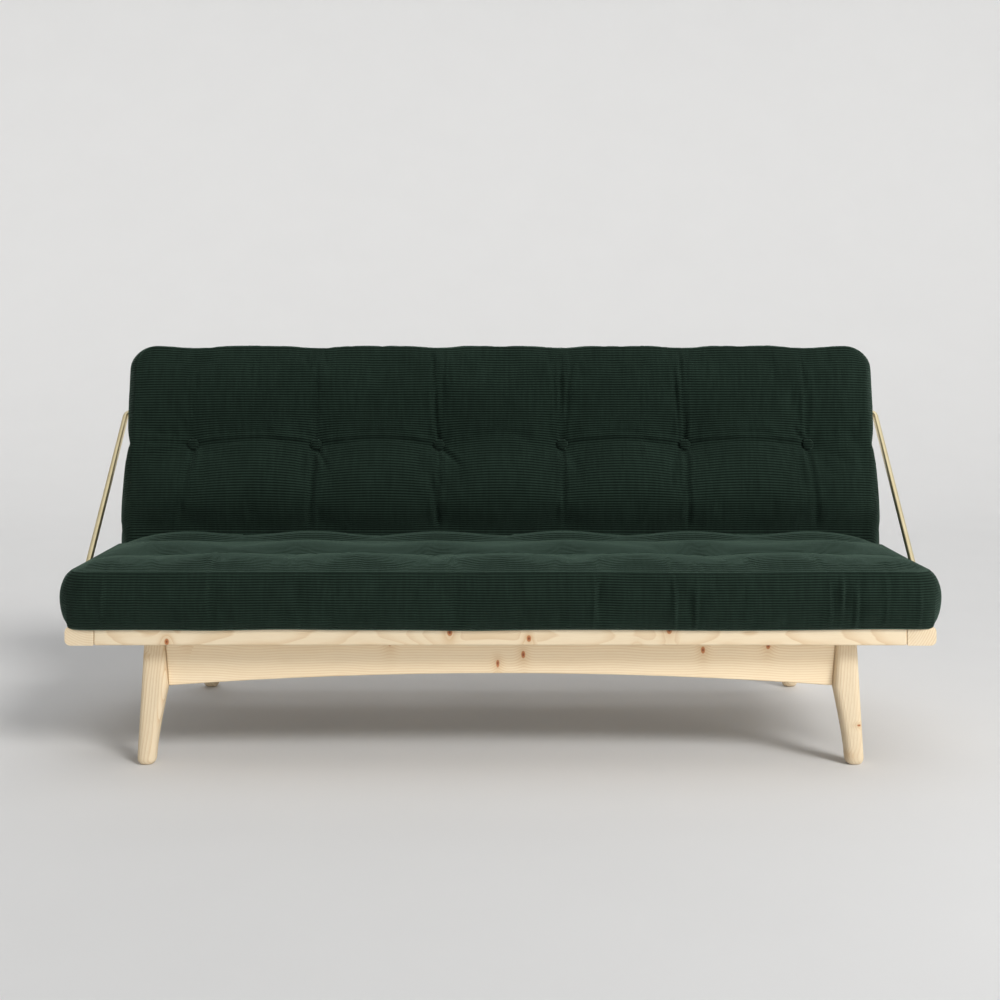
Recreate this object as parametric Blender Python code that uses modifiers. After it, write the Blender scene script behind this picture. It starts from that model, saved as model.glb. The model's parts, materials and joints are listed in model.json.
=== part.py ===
"""Futon sofa bed.

A pine base on splayed legs carries a slatted seat frame that slides forward.
A slatted back frame is hinged to the seat and folds down flat behind it.
Two bent brass stays on the seat frame hold the back up.
The tufted mattress is one cushion, given here as its seat half and its back half.

Metres, +Z up. "Depth" is the distance behind the front face of the seat frame, along +Y.
Left is -X, as seen from the front. The object stands at rest as a sofa.
"""

import math

import bmesh
import bpy
from mathutils import Matrix, Vector

# Overall places
ORIGIN_DEPTH = 0.3979  # depth of the middle of the whole sofa
CLEAR = 0.0003  # clearance left between pieces that touch
WELD = 0.0001
BIG = 0.05  # how far a cutter reaches past the piece that it cuts

# Boards of the two slatted frames
RAIL_WIDTH = 0.063
RAIL_HEIGHT = 0.042
LEDGER_WIDTH = 0.024
SLAT_HEIGHT = 0.018
SLAT_WIDTH = 0.090
SLAT_COUNT = 7
RAIL_ROUND = 0.004
OUTER_ROUND = 0.012
SLAT_ROUND = 0.003
SMALL_ROUND = 0.002

# Seat frame
SEAT_HALF_LENGTH = 0.950
SEAT_TOP = 0.309
SEAT_BOTTOM = SEAT_TOP - RAIL_HEIGHT
HINGE_DEPTH = 0.650
HINGE_HEIGHT = SEAT_TOP - 0.004
HINGE_GAP = 0.004  # from the hinge axis to the frame on each side
SEAT_REAR = HINGE_DEPTH - HINGE_GAP
SLIDE = 0.210

# Back frame, drawn lying flat: y from the hinge axis, z from the hinge axis
BACK_HALF_LENGTH = 0.925
BACK_END = 0.600
BACK_TOP = SEAT_TOP - HINGE_HEIGHT
BACK_ANGLE = math.radians(79.0)  # above flat, when the sofa is up

# Base
BASE_TOP = SEAT_BOTTOM - CLEAR
FOOT_DEPTH = 0.038
REAR_FOOT_DEPTH = 0.780
LEG_SPLAY = 0.1423  # how far a leg's middle leans, for each metre of height
LEG_TOP_INNER = 0.745
LEG_SHOULDER_INNER = 0.737
LEG_FOOT_INNER = 0.758
LEG_TOP_OUTER = 0.791
LEG_FOOT_OUTER = 0.800
LEG_SHOULDER = 0.165
LEG_ANKLE = 0.022
LEG_CURVE = 1.3
LEG_TOP_HALF_DEPTH = 0.025
LEG_FOOT_HALF_DEPTH = 0.021
LEG_TOP_SQUARE = 4.5  # power of the superellipse that is the leg's section
LEG_FOOT_SQUARE = 2.4
FOOT_DOME = 0.0145
FOOT_FLAT = 0.42  # share of the foot's width that is flat on the floor
LEG_SIDES = 24
FOOT_STEPS = 4
SHAFT_STEPS = 6
APRON_FRONT = 0.062
APRON_THICK = 0.020
APRON_BOTTOM = 0.166
APRON_RISE = 0.027
APRON_STEPS = 16
BEARER_INNER = 0.752
BEARER_OUTER = 0.778
BEARER_BOTTOM = 0.190
CENTRE_BEARER_HALF = 0.020
CENTRE_BEARER_BOTTOM = 0.200

# Leg bolts
BOLT_HEIGHT = 0.225
BOLT_RADIUS = 0.004
BOLT_HEAD_RADIUS = 0.008
BOLT_INNER_END = 0.693
BOLT_HEAD_INNER = 0.784
BOLT_HEAD_OUTER = 0.789

# Runners and guides under the seat frame
RUNNER_INNER = 0.722
RUNNER_OUTER = 0.779
GUIDE_OUTER = 0.742
GUIDE_HEIGHT = 0.024
STOP_CLEAR = 0.001

# Hinges
HINGE_PLACES = (-0.620, 0.0, 0.620)
KNUCKLE_RADIUS = 0.0037
KNUCKLE_BORE = 0.0021
PIN_RADIUS = 0.0018
LEAF_LENGTH = 0.072
LEAF_THICK = 0.0018
LEAF_DROP = 0.032
KNUCKLE_CLEAR = 0.0005

# Stays
STAY_MIDDLE = 1.002
STAY_THICK = 0.012
STAY_WIDE = 0.018
STAY_EDGE = 0.004
STAY_BEND = 0.016
STAY_PIVOT_DEPTH = 0.272
STAY_PIVOT_HEIGHT = SEAT_TOP - RAIL_HEIGHT / 2
STAY_PIVOT_END = 0.9605
STAY_HOOK_END = 0.9762
HOOK_ALONG_BACK = 0.444
HOOK_BEHIND_BACK = 0.017
STUD_RADIUS = 0.003
STUD_CLEAR = 0.0003
STUD_IN_RAIL = 0.035
STUD_IN_STAY = 0.018
COLLAR_RADIUS = 0.010
PEG_RADIUS = 0.007
PEG_FLANGE_RADIUS = 0.014
PEG_FLANGE = 0.004
PEG_END = 0.9750
PEG_IN_RAIL = 0.030

# Mattress
MATTRESS_THICK = 0.148
MATTRESS_HALF_LENGTH = 0.950
MATTRESS_FRONT = -0.006
MATTRESS_END = 0.600
MATTRESS_ROUND = 0.030
FOLD_CLEAR = 0.001

# Turns of a flat outline drawn in X and Y
ACROSS = (math.radians(90), 0, math.radians(90))  # outline in Y and Z, thickness along X
UPRIGHT = (math.radians(90), 0, 0)  # outline in X and Z, thickness along Y

# Fineness of the meshes
ARC_STEPS = 4
ROUND_SIDES = 16
BEVEL_ANGLE = math.radians(30)
SHARP_ANGLE = math.radians(40)
FLAT_ANGLE = math.radians(0.05)


def clear_scene():
    for obj in list(bpy.data.objects):
        bpy.data.objects.remove(obj)


def make_collection(name):
    collection = bpy.data.collections.new(name)
    bpy.context.scene.collection.children.link(collection)
    return collection


def make_material(name, colour, roughness, metallic=0.0):
    material = bpy.data.materials.new(name)
    material.use_nodes = True
    shader = material.node_tree.nodes["Principled BSDF"]
    shader.inputs["Base Color"].default_value = (*colour, 1.0)
    shader.inputs["Roughness"].default_value = roughness
    shader.inputs["Metallic"].default_value = metallic
    return material


def make_empty(name, parent=None, location=(0, 0, 0), rotation=(0, 0, 0)):
    empty = bpy.data.objects.new(name, None)
    empty.location = location
    empty.rotation_euler = rotation
    empty.parent = parent
    PARTS.objects.link(empty)
    return empty


def mesh_object(name, bm, collection):
    bmesh.ops.recalc_face_normals(bm, faces=bm.faces)
    mesh = bpy.data.meshes.new(name)
    bm.to_mesh(mesh)
    bm.free()
    obj = bpy.data.objects.new(name, mesh)
    collection.objects.link(obj)
    return obj


def dress(obj, parent, material):
    obj.parent = parent
    obj.data.materials.append(material)
    return obj


def round_edges(obj, radius, segments=1):
    bevel = obj.modifiers.new("Rounded edges", "BEVEL")
    bevel.width = radius
    bevel.segments = segments
    bevel.limit_method = "ANGLE"
    bevel.angle_limit = BEVEL_ANGLE
    if segments > 1:
        obj.data.shade_smooth()
        obj.data.set_sharp_from_angle(angle=SHARP_ANGLE)
    return obj


def box(name, x, y, z, collection):
    """A box between pairs of low and high limits, with its origin at its middle."""
    low = Vector((x[0], y[0], z[0]))
    high = Vector((x[1], y[1], z[1]))
    bm = bmesh.new()
    bmesh.ops.create_cube(bm, size=1.0, matrix=Matrix.Diagonal((*(high - low), 1)))
    obj = mesh_object(name, bm, collection)
    obj.location = (low + high) / 2
    return obj


def board(name, parent, x, y, z, radius=SLAT_ROUND, segments=1):
    return round_edges(dress(box(name, x, y, z, PARTS), parent, PINE), radius, segments)


def rod_x(name, x, y, z, radius, collection, sides=ROUND_SIDES):
    """A cylinder along X between two limits."""
    bm = bmesh.new()
    bmesh.ops.create_cone(
        bm,
        cap_ends=True,
        segments=sides,
        radius1=radius,
        radius2=radius,
        depth=x[1] - x[0],
        matrix=Matrix.Rotation(math.radians(90), 4, "Y"),
    )
    obj = mesh_object(name, bm, collection)
    obj.location = ((x[0] + x[1]) / 2, y, z)
    return obj


def turned(name, parent, material, side, y, z, profile):
    """A turned piece on an axis along X. Its profile runs outwards from the sofa's middle plane,
    as (distance from that plane, radius)."""
    bm = bmesh.new()
    points = [bm.verts.new((radius, 0, along)) for along, radius in reversed(profile)]
    for first, second in zip(points, points[1:]):
        bm.edges.new((first, second))
    mesh = bpy.data.meshes.new(name)
    bm.to_mesh(mesh)
    bm.free()
    obj = bpy.data.objects.new(name, mesh)
    PARTS.objects.link(obj)
    screw = obj.modifiers.new("Turned", "SCREW")
    screw.steps = ROUND_SIDES
    screw.render_steps = ROUND_SIDES
    screw.use_merge_vertices = True
    screw.merge_threshold = WELD
    obj.rotation_euler = (0, math.radians(90) * side, 0)
    obj.location = (0, y, z)
    return dress(obj, parent, material)


def cutter(obj, parent):
    obj.parent = parent
    obj.hide_render = True
    obj.display_type = "WIRE"
    return obj


def boolean(obj, other, operation):
    modifier = obj.modifiers.new(operation.title(), "BOOLEAN")
    modifier.object = other
    modifier.operation = operation
    modifier.solver = "EXACT"


def arc_points(centre, start, end):
    """Points on the shorter arc from start to end about centre, ends included."""
    first = math.atan2(start.y - centre.y, start.x - centre.x)
    last = math.atan2(end.y - centre.y, end.x - centre.x)
    turn = (last - first + math.pi) % math.tau - math.pi
    radius = (start - centre).length
    for step in range(ARC_STEPS + 1):
        angle = first + turn * step / ARC_STEPS
        yield centre + Vector((math.cos(angle), math.sin(angle))) * radius


def rounded_outline(corners):
    """Outline points from (u, v, radius) corners."""
    points = []
    for index, (u, v, radius) in enumerate(corners):
        here = Vector((u, v))
        if not radius:
            points.append(here)
            continue
        before = (Vector(corners[index - 1][:2]) - here).normalized()
        after = (Vector(corners[(index + 1) % len(corners)][:2]) - here).normalized()
        half = before.angle(after) / 2
        reach = radius / math.tan(half)
        centre = here + (before + after).normalized() * (radius / math.sin(half))
        points.extend(arc_points(centre, here + before * reach, here + after * reach))
    return points


def flat_curve(name, points, closed=True):
    curve = bpy.data.curves.new(name, "CURVE")
    curve.dimensions = "2D"
    spline = curve.splines.new("POLY")
    spline.points.add(len(points) - 1)
    for target, point in zip(spline.points, points):
        target.co = (point.x, point.y, 0, 1)
    spline.use_cyclic_u = closed
    obj = bpy.data.objects.new(name, curve)
    PARTS.objects.link(obj)
    return obj


def curve_to_mesh(source):
    """The same shape as a closed mesh object with the curve's name and place."""
    name = source.name
    source.name = name + "_curve"
    bpy.context.view_layer.update()
    graph = bpy.context.evaluated_depsgraph_get()
    mesh = bpy.data.meshes.new_from_object(source.evaluated_get(graph), depsgraph=graph)
    bm = bmesh.new()
    bm.from_mesh(mesh)
    bmesh.ops.remove_doubles(bm, verts=bm.verts, dist=WELD / 10)
    bmesh.ops.dissolve_limit(
        bm, angle_limit=FLAT_ANGLE, verts=bm.verts, edges=bm.edges
    )
    obj = mesh_object(name, bm, PARTS)
    obj.matrix_world = source.matrix_world
    bpy.data.meshes.remove(mesh)
    bpy.data.objects.remove(source)
    return obj


def slab(name, parent, material, points, thick, rotation, location):
    """A flat outline with thickness. Its outline's plane is turned by rotation."""
    source = flat_curve(name, points)
    source.data.fill_mode = "BOTH"
    source.data.extrude = thick / 2
    source.rotation_euler = rotation
    source.location = location
    return dress(curve_to_mesh(source), parent, material)


def leg_limits(height):
    """A leg's inner and outer distance from the middle, at a height."""
    share = height / BASE_TOP
    outer = LEG_FOOT_OUTER + (LEG_TOP_OUTER - LEG_FOOT_OUTER) * share
    if height >= LEG_SHOULDER:
        up = (height - LEG_SHOULDER) / (BASE_TOP - LEG_SHOULDER)
        return LEG_SHOULDER_INNER + (LEG_TOP_INNER - LEG_SHOULDER_INNER) * up, outer
    up = max(0.0, (height - LEG_ANKLE) / (LEG_SHOULDER - LEG_ANKLE)) ** LEG_CURVE
    return LEG_FOOT_INNER + (LEG_SHOULDER_INNER - LEG_FOOT_INNER) * up, outer


def leg_half_depth(height):
    up = height / BASE_TOP
    return LEG_FOOT_HALF_DEPTH + (LEG_TOP_HALF_DEPTH - LEG_FOOT_HALF_DEPTH) * up


def leg_levels():
    """Heights of a leg's sections with each section's share of the full width."""
    levels = []
    for step in range(FOOT_STEPS):
        angle = math.radians(90) * (1 - step / FOOT_STEPS)
        swell = FOOT_FLAT + (1 - FOOT_FLAT) * math.cos(angle)
        levels.append((FOOT_DOME * (1 - math.sin(angle)), swell))
    for step in range(SHAFT_STEPS):
        height = FOOT_DOME + (LEG_SHOULDER - FOOT_DOME) * step / SHAFT_STEPS
        levels.append((height, 1.0))
    return levels + [(LEG_SHOULDER, 1.0), (BASE_TOP, 1.0)]


def leg(name, side, foot_depth, lean):
    """A leg lofted from a round foot to a squarer top. Lean is +1 where its top is behind its foot."""
    bm = bmesh.new()
    rings = []
    for height, swell in leg_levels():
        inner, outer = leg_limits(height)
        up = height / BASE_TOP
        power = 2 / (LEG_FOOT_SQUARE + (LEG_TOP_SQUARE - LEG_FOOT_SQUARE) * up)
        ring = []
        for k in range(LEG_SIDES):
            angle = math.tau * k / LEG_SIDES
            across = math.copysign(abs(math.cos(angle)) ** power, math.cos(angle))
            along = math.copysign(abs(math.sin(angle)) ** power, math.sin(angle))
            x = side * ((inner + outer) / 2 + across * swell * (outer - inner) / 2)
            y = lean * LEG_SPLAY * height + along * swell * leg_half_depth(height)
            ring.append(bm.verts.new((x, y, height)))
        rings.append(ring)
    for low, high in zip(rings, rings[1:]):
        for k in range(LEG_SIDES):
            after = (k + 1) % LEG_SIDES
            bm.faces.new((low[k], low[after], high[after], high[k]))
    bm.faces.new(rings[0])
    bm.faces.new(rings[-1])
    obj = dress(mesh_object(name, bm, PARTS), ROOT, PINE)
    obj.location = (0, foot_depth, 0)
    obj.data.shade_smooth()
    obj.data.set_sharp_from_angle(angle=SHARP_ANGLE)
    return obj


def apron_outline():
    """Apron seen from the front: straight top, ends along the legs, and an arched lower edge."""
    half = leg_limits(APRON_BOTTOM)[0] - 2 * CLEAR
    radius = (half**2 + APRON_RISE**2) / (2 * APRON_RISE)
    spread = math.asin(half / radius)
    points = [Vector((LEG_TOP_INNER - 2 * CLEAR, BASE_TOP))]
    for step in range(APRON_STEPS + 1):
        angle = spread * (1 - 2 * step / APRON_STEPS)
        drop = radius * (math.cos(angle) - math.cos(spread))
        points.append(Vector((radius * math.sin(angle), APRON_BOTTOM + drop)))
    points.append(Vector((-points[0].x, BASE_TOP)))
    return points


def make_base():
    """Four legs, two arched aprons, three bearers and the bolts that join legs and aprons."""
    rear_apron = REAR_FOOT_DEPTH + FOOT_DEPTH - APRON_FRONT - APRON_THICK
    for end, depth in (("front", APRON_FRONT), ("rear", rear_apron)):
        middle = (0, depth + APRON_THICK / 2, 0)
        apron = slab(
            "apron_" + end, ROOT, PINE, apron_outline(), APRON_THICK, UPRIGHT, middle
        )
        round_edges(apron, SMALL_ROUND)
        for side, hand in ((-1, "left"), (1, "right")):
            if end == "front":
                part = leg(f"leg_{end}_{hand}", side, FOOT_DEPTH, 1)
                bolt_depth = FOOT_DEPTH + LEG_SPLAY * BOLT_HEIGHT
            else:
                part = leg(f"leg_{end}_{hand}", side, REAR_FOOT_DEPTH, -1)
                bolt_depth = REAR_FOOT_DEPTH - LEG_SPLAY * BOLT_HEIGHT
            make_leg_bolt(end, hand, side, bolt_depth, part, apron)
    make_bearers(rear_apron)


def make_leg_bolt(end, hand, side, depth, leg_part, apron):
    """A bolt through a leg into the end of an apron, with its head sunk in the leg."""
    turned(
        f"leg_bolt_{end}_{hand}",
        ROOT,
        STEEL,
        side,
        depth,
        BOLT_HEIGHT,
        [
            (BOLT_INNER_END, 0),
            (BOLT_INNER_END, BOLT_RADIUS),
            (BOLT_HEAD_INNER, BOLT_RADIUS),
            (BOLT_HEAD_INNER, BOLT_HEAD_RADIUS),
            (BOLT_HEAD_OUTER, BOLT_HEAD_RADIUS),
            (BOLT_HEAD_OUTER, 0),
        ],
    )
    for limit, radius in (
        (BOLT_INNER_END - CLEAR, BOLT_RADIUS),
        (BOLT_HEAD_INNER - CLEAR, BOLT_HEAD_RADIUS),
    ):
        reach = sorted((side * limit, side * (LEG_FOOT_OUTER + BIG)))
        name = f"bore_{end}_{hand}_{round(radius * 1000)}"
        bore = rod_x(name, reach, depth, BOLT_HEIGHT, radius + CLEAR, CUTTERS)
        cutter(bore, ROOT)
        boolean(leg_part, bore, "DIFFERENCE")
        if radius == BOLT_RADIUS:
            boolean(apron, bore, "DIFFERENCE")


def make_bearers(rear_apron):
    """Two side bearers between the legs and one in the middle between the aprons."""
    outline = []
    for height in (BASE_TOP, BEARER_BOTTOM):
        front = FOOT_DEPTH + LEG_SPLAY * height + leg_half_depth(height) + CLEAR
        rear = FOOT_DEPTH + REAR_FOOT_DEPTH - front
        outline.append((Vector((front, height)), Vector((rear, height))))
    points = [outline[0][0], outline[1][0], outline[1][1], outline[0][1]]
    thick = BEARER_OUTER - BEARER_INNER
    for side, hand in ((-1, "left"), (1, "right")):
        middle = (side * (BEARER_INNER + BEARER_OUTER) / 2, 0, 0)
        bearer = slab(f"bearer_{hand}", ROOT, PINE, points, thick, ACROSS, middle)
        round_edges(bearer, SLAT_ROUND)
    board(
        "bearer_centre",
        ROOT,
        (-CENTRE_BEARER_HALF, CENTRE_BEARER_HALF),
        (APRON_FRONT + APRON_THICK + CLEAR, rear_apron - CLEAR),
        (CENTRE_BEARER_BOTTOM, BASE_TOP),
    )


def side_rail(name, parent, side, half_length, y, z_top):
    """A rail along Y whose two outer edges are well rounded."""
    inner = half_length - RAIL_WIDTH
    corners = [
        (side * inner, z_top, RAIL_ROUND / 2),
        (side * half_length, z_top, OUTER_ROUND),
        (side * half_length, z_top - RAIL_HEIGHT, OUTER_ROUND),
        (side * inner, z_top - RAIL_HEIGHT, RAIL_ROUND / 2),
    ]
    middle = (0, (y[0] + y[1]) / 2, 0)
    points = rounded_outline(corners)
    rail = slab(name, parent, PINE, points, y[1] - y[0], UPRIGHT, middle)
    rail.data.shade_smooth()
    rail.data.set_sharp_from_angle(angle=SHARP_ANGLE)
    return rail


def slatted_frame(kind, parent, half_length, y, z_top, end_names):
    """Four rails, two ledgers on the long rails' inner faces, and slats that rest on them."""
    bottom = z_top - RAIL_HEIGHT
    inner = half_length - RAIL_WIDTH - CLEAR
    ledger_top = z_top - SLAT_HEIGHT - CLEAR
    rails = {}
    for side, hand in ((-1, "left"), (1, "right")):
        name = f"{kind}_rail_{hand}"
        rails[hand] = side_rail(name, parent, side, half_length, y, z_top)
    near = y[0] + RAIL_WIDTH
    far = y[1] - RAIL_WIDTH
    for end, rail_y, ledger_y in (
        (end_names[0], (y[0], near), (near + CLEAR, near + LEDGER_WIDTH)),
        (end_names[1], (far, y[1]), (far - LEDGER_WIDTH, far - CLEAR)),
    ):
        name = f"{kind}_rail_{end}"
        board(name, parent, (-inner, inner), rail_y, (bottom, z_top), RAIL_ROUND, 3)
        name = f"{kind}_ledger_{end}"
        board(name, parent, (-inner, inner), ledger_y, (bottom + CLEAR, ledger_top))
    pitch = 2 * inner / SLAT_COUNT
    for number in range(SLAT_COUNT):
        middle = (number - (SLAT_COUNT - 1) / 2) * pitch
        board(
            f"{kind}_slat_{number + 1}",
            parent,
            (middle - SLAT_WIDTH / 2, middle + SLAT_WIDTH / 2),
            (near + CLEAR, far - CLEAR),
            (z_top - SLAT_HEIGHT, z_top),
        )
    return rails


def make_seat():
    """The sliding seat frame, with the runners that it slides on and the guides that stop it."""
    rails = slatted_frame(
        "seat", SEAT, SEAT_HALF_LENGTH, (0, SEAT_REAR), SEAT_TOP, ("front", "rear")
    )
    front = RAIL_WIDTH + LEDGER_WIDTH + CLEAR
    rear = SEAT_REAR - RAIL_WIDTH - LEDGER_WIDTH - CLEAR
    runner_z = (SEAT_BOTTOM, SEAT_TOP - SLAT_HEIGHT - CLEAR)
    guide_front = APRON_FRONT + APRON_THICK + SLIDE + STOP_CLEAR
    guide_z = (SEAT_BOTTOM - GUIDE_HEIGHT, SEAT_BOTTOM - CLEAR)
    for side, hand in ((-1, "left"), (1, "right")):
        x = sorted((side * RUNNER_INNER, side * RUNNER_OUTER))
        board(f"seat_runner_{hand}", SEAT, x, (front, rear), runner_z, SMALL_ROUND)
        x = sorted((side * RUNNER_INNER, side * GUIDE_OUTER))
        board(f"seat_guide_{hand}", SEAT, x, (guide_front, rear), guide_z, SMALL_ROUND)
    return rails


def leaf(name, parent, low_side, middle, knuckles):
    """A hinge leaf with its knuckles, hanging from the axis at the parent's origin."""
    half = LEAF_LENGTH / 2
    outer = KNUCKLE_RADIUS
    near = outer - LEAF_THICK
    y = (-outer, -near) if low_side else (near, outer)
    x = (middle - half, middle + half)
    plate = dress(box(name, x, y, (-LEAF_DROP, 0), PARTS), parent, STEEL)
    for number, (start, end) in enumerate(knuckles):
        x = (middle + start * half, middle + end * half)
        knuckle = rod_x(f"{name}_knuckle_{number}", x, 0, 0, outer, CUTTERS)
        boolean(plate, cutter(knuckle, parent), "UNION")
    gaps = leaf_gaps(knuckles)
    for number, (start, end) in enumerate(gaps):
        x = (
            middle + start * half - (BIG if start == -1 else KNUCKLE_CLEAR),
            middle + end * half + (BIG if end == 1 else KNUCKLE_CLEAR),
        )
        reach = outer + KNUCKLE_CLEAR
        slot = box(f"{name}_slot_{number}", x, (-reach, reach), (-reach, reach), CUTTERS)
        boolean(plate, cutter(slot, parent), "DIFFERENCE")
    x = (middle - half - BIG, middle + half + BIG)
    bore = rod_x(f"{name}_bore", x, 0, 0, KNUCKLE_BORE, CUTTERS)
    boolean(plate, cutter(bore, parent), "DIFFERENCE")
    return plate


def leaf_gaps(knuckles):
    """The stretches of a leaf that have no knuckle, as shares of its half length."""
    gaps = []
    reached = -1
    for start, end in knuckles:
        if start > reached:
            gaps.append((reached, start))
        reached = end
    if reached < 1:
        gaps.append((reached, 1))
    return gaps


def make_hinges():
    """Butt hinges between the seat's rear rail and the back's lower rail."""
    third = 1 / 3
    for number, middle in enumerate(HINGE_PLACES, 1):
        leaf(f"hinge_leaf_seat_{number}", HINGE_SEAT, True, middle, [(-1, -third), (third, 1)])
        leaf(f"hinge_leaf_back_{number}", BACK, False, middle, [(-third, third)])
        x = (middle - LEAF_LENGTH / 2, middle + LEAF_LENGTH / 2)
        pin = rod_x(f"hinge_pin_{number}", x, 0, 0, PIN_RADIUS, PARTS)
        dress(pin, HINGE_SEAT, STEEL)


def make_back():
    """The back frame, with a peg on each side for its stay."""
    y = (HINGE_GAP, BACK_END)
    rails = slatted_frame("back", BACK, BACK_HALF_LENGTH, y, BACK_TOP, ("lower", "upper"))
    for side, hand in ((-1, "left"), (1, "right")):
        face = BACK_HALF_LENGTH + CLEAR
        turned(
            f"stay_peg_{hand}",
            BACK,
            BRASS,
            side,
            HOOK_ALONG_BACK,
            -HOOK_BEHIND_BACK,
            [
                (BACK_HALF_LENGTH - PEG_IN_RAIL, 0),
                (BACK_HALF_LENGTH - PEG_IN_RAIL, STUD_RADIUS),
                (face, STUD_RADIUS),
                (face, PEG_FLANGE_RADIUS),
                (face + PEG_FLANGE, PEG_FLANGE_RADIUS),
                (face + PEG_FLANGE, PEG_RADIUS),
                (PEG_END, PEG_RADIUS),
                (PEG_END, 0),
            ],
        )
        limit = BACK_HALF_LENGTH - PEG_IN_RAIL - CLEAR
        reach = sorted((side * limit, side * (BACK_HALF_LENGTH + BIG)))
        radius = STUD_RADIUS + CLEAR
        name = f"bore_peg_{hand}"
        bore = rod_x(name, reach, HOOK_ALONG_BACK, -HOOK_BEHIND_BACK, radius, CUTTERS)
        boolean(rails[hand], cutter(bore, BACK), "DIFFERENCE")


def hook_place():
    """Depth and height of the point on the back where the stays hook on, with the sofa up."""
    along = Vector((math.cos(BACK_ANGLE), math.sin(BACK_ANGLE)))
    behind = Vector((math.sin(BACK_ANGLE), -math.cos(BACK_ANGLE)))
    hinge = Vector((HINGE_DEPTH, HINGE_HEIGHT))
    return hinge + along * HOOK_ALONG_BACK + behind * HOOK_BEHIND_BACK


def stay_profile():
    half_thick = STAY_THICK / 2
    half_wide = STAY_WIDE / 2
    corners = [
        (-half_thick, -half_wide, STAY_EDGE),
        (half_thick, -half_wide, STAY_EDGE),
        (half_thick, half_wide, STAY_EDGE),
        (-half_thick, half_wide, STAY_EDGE),
    ]
    return flat_curve("stay_profile", rounded_outline(corners))


def make_stays(seat_rails):
    """Two bent bars, each turning on a bolt in the seat's side rail."""
    pivot = Vector((STAY_PIVOT_DEPTH, STAY_PIVOT_HEIGHT))
    reach = hook_place() - pivot
    slope = math.atan2(reach.y, reach.x)
    profile = stay_profile()
    for side, hand in ((-1, "left"), (1, "right")):
        axis = make_empty(f"stay_{hand}_axis", SEAT, (0, pivot.x, pivot.y))
        corners = [
            (side * STAY_PIVOT_END, 0, 0),
            (side * STAY_MIDDLE, 0, STAY_BEND),
            (side * STAY_MIDDLE, reach.length, STAY_BEND),
            (side * STAY_HOOK_END, reach.length, 0),
        ]
        path = flat_curve(f"stay_bar_{hand}", rounded_outline(corners), closed=False)
        path.data.dimensions = "3D"
        path.data.fill_mode = "FULL"
        path.data.bevel_mode = "OBJECT"
        path.data.bevel_object = profile
        path.data.use_fill_caps = True
        path.rotation_euler = (slope, 0, 0)
        bar = dress(curve_to_mesh(path), axis, BRASS)
        bar.data.shade_smooth()
        bar.data.set_sharp_from_angle(angle=SHARP_ANGLE)
        make_stay_bolt(hand, side, axis, bar, seat_rails[hand])
    bpy.data.objects.remove(profile)


def make_stay_bolt(hand, side, axis, bar, rail):
    """A shoulder bolt: a stud in the rail, a collar beside it, and a journal in the stay's end."""
    rail_end = SEAT_HALF_LENGTH - STUD_IN_RAIL
    stay_end = STAY_PIVOT_END + STUD_IN_STAY
    collar = (SEAT_HALF_LENGTH + CLEAR, STAY_PIVOT_END - CLEAR)
    turned(
        f"stay_bolt_{hand}",
        SEAT,
        BRASS,
        side,
        STAY_PIVOT_DEPTH,
        STAY_PIVOT_HEIGHT,
        [
            (rail_end, 0),
            (rail_end, STUD_RADIUS),
            (collar[0], STUD_RADIUS),
            (collar[0], COLLAR_RADIUS),
            (collar[1], COLLAR_RADIUS),
            (collar[1], STUD_RADIUS),
            (stay_end, STUD_RADIUS),
            (stay_end, 0),
        ],
    )
    radius = STUD_RADIUS + STUD_CLEAR
    reach = sorted((side * (rail_end - CLEAR), side * (stay_end + CLEAR)))
    bore = rod_x(
        f"bore_stay_{hand}", reach, STAY_PIVOT_DEPTH, STAY_PIVOT_HEIGHT, radius, CUTTERS
    )
    cutter(bore, SEAT)
    boolean(rail, bore, "DIFFERENCE")
    boolean(bar, bore, "DIFFERENCE")


def make_mattress():
    """Both halves of the mattress. They meet on the plane that halves the fold's angle."""
    half_fold = (math.pi - BACK_ANGLE) / 2
    crease = MATTRESS_THICK / math.tan(half_fold)
    gap = FOLD_CLEAR / math.sin(half_fold)
    base = SEAT_TOP + CLEAR
    start = HINGE_DEPTH - (base - HINGE_HEIGHT) / math.tan(half_fold) - gap
    top = base + MATTRESS_THICK
    seat_corners = [
        (MATTRESS_FRONT, base, MATTRESS_ROUND / 2),
        (start, base, 0),
        (start - crease, top, 0),
        (MATTRESS_FRONT, top, MATTRESS_ROUND),
    ]
    base = BACK_TOP + CLEAR
    start = base / math.tan(half_fold) + gap
    top = base + MATTRESS_THICK
    back_corners = [
        (start, base, 0),
        (MATTRESS_END, base, MATTRESS_ROUND / 2),
        (MATTRESS_END, top, MATTRESS_ROUND),
        (start + crease, top, 0),
    ]
    length = 2 * MATTRESS_HALF_LENGTH
    for name, parent, corners in (
        ("mattress_seat", SEAT, seat_corners),
        ("mattress_back", BACK, back_corners),
    ):
        points = rounded_outline(corners)
        half = slab(name, parent, CORDUROY, points, length, ACROSS, (0, 0, 0))
        half.data.shade_smooth()
        half.data.set_sharp_from_angle(angle=SHARP_ANGLE)


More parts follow.
